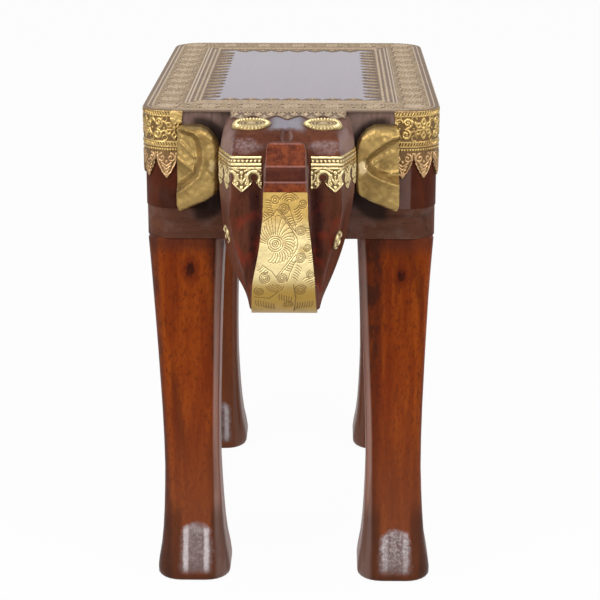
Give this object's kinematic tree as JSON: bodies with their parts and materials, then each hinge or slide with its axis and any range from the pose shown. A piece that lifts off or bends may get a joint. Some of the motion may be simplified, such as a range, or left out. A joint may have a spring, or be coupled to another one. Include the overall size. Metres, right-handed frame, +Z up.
{
  "type": "carved elephant stool",
  "caption": "Carved wooden stool with an elephant head on the front, its trunk raised to the forehead, and embossed brass sheet on the seat, corners, ears and trunk.",
  "frame": {"origin": "middle of the whole part's bounding box, on the floor under the feet", "axes": "+X to the stool's right as seen from the front, +Y from the elephant's head to the tail, +Z up"},
  "size_m": [0.24, 0.503, 0.406],
  "materials": {
    "leg_wood": "glossy red-brown lacquer",
    "head_wood": "glossy dark red-brown lacquer",
    "dark_wood": "dark stain, satin",
    "brass": "embossed sheet, polished with dark recesses",
    "aged_brass": "beaten sheet, olive patina",
    "steel": "plain"
  },
  "bodies": {
    "root": {"seat_board": "dark_wood", "seat_border": "brass", "front_left_post": "dark_wood", "front_right_post": "dark_wood", "rear_left_post": "dark_wood", "rear_right_post": "dark_wood", "front_board": "dark_wood", "rear_board": "dark_wood", "left_board": "dark_wood", "right_board": "dark_wood", "front_rail": "dark_wood", "rear_rail": "dark_wood", "left_rail": "dark_wood", "right_rail": "dark_wood", "corner_blocks": "dark_wood", "front_left_leg": "leg_wood", "front_right_leg": "leg_wood", "rear_left_leg": "leg_wood", "rear_right_leg": "leg_wood", "leg_dowels": "dark_wood", "side_band_left": "brass", "side_band_right": "brass", "elephant_head": "head_wood", "head_screws": "steel", "trunk_strip": "brass", "ear_left": "head_wood", "ear_cladding_left": "aged_brass", "ear_right": "head_wood", "ear_cladding_right": "aged_brass", "head_fringe": "brass", "forehead_disc_left": "brass", "forehead_disc_right": "brass", "eye_rosette_left": "brass", "eye_rosette_right": "brass", "forehead_band_left": "brass", "forehead_band_right": "brass", "tail": "head_wood"}
  },
  "joints": []
}
